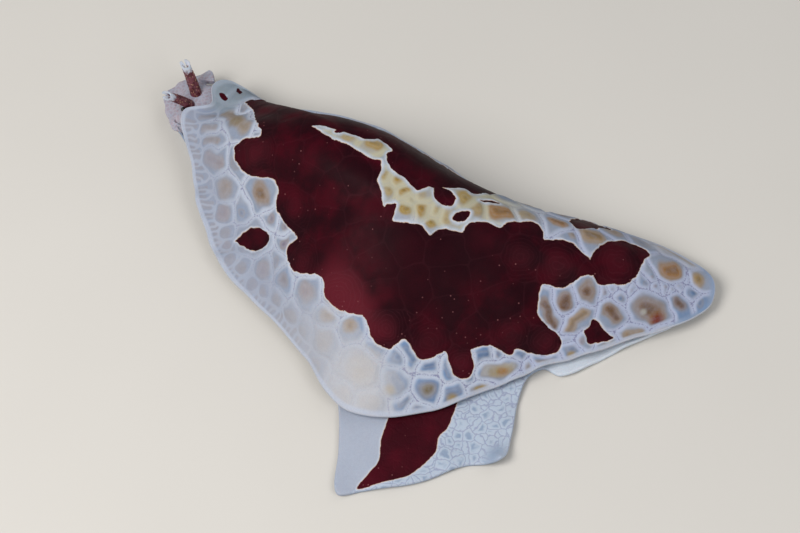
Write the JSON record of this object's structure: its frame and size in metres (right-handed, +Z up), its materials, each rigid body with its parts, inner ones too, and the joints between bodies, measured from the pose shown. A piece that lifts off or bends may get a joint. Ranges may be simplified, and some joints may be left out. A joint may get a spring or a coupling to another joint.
{
  "type": "sidegill sea slug",
  "caption": "Life-size still model of a large sidegill sea slug crawling on its foot, with a domed mantle, oral veil, feelers and side gill.",
  "frame": {"origin": "centre of the bounding box on the floor that the foot rests on", "axes": "+Z up, head towards -Y, tail towards +Y, the animal's left side at +X and its gill side at -X"},
  "size_m": [0.146, 0.2239, 0.0515],
  "materials": {
    "mantle_skin": "wet, smooth skin, dark maroon with pale blue-white borders and tan tubercles",
    "pale_skin": "wet, smooth, blue-white skin with fine white lines",
    "feeler_skin": "wet, smooth, maroon skin with pale tips",
    "gill_flesh": "wet, translucent flesh",
    "eye": "black and wet"
  },
  "bodies": {
    "root": {"mantle": "mantle_skin", "body": "pale_skin", "foot": "pale_skin", "tail": "pale_skin", "head": "pale_skin", "oral_veil": "pale_skin", "mouth": "pale_skin", "rhinophore_left": "feeler_skin", "rhinophore_right": "feeler_skin", "eye_left": "eye", "eye_right": "eye", "gill": "gill_flesh"}
  },
  "joints": []
}
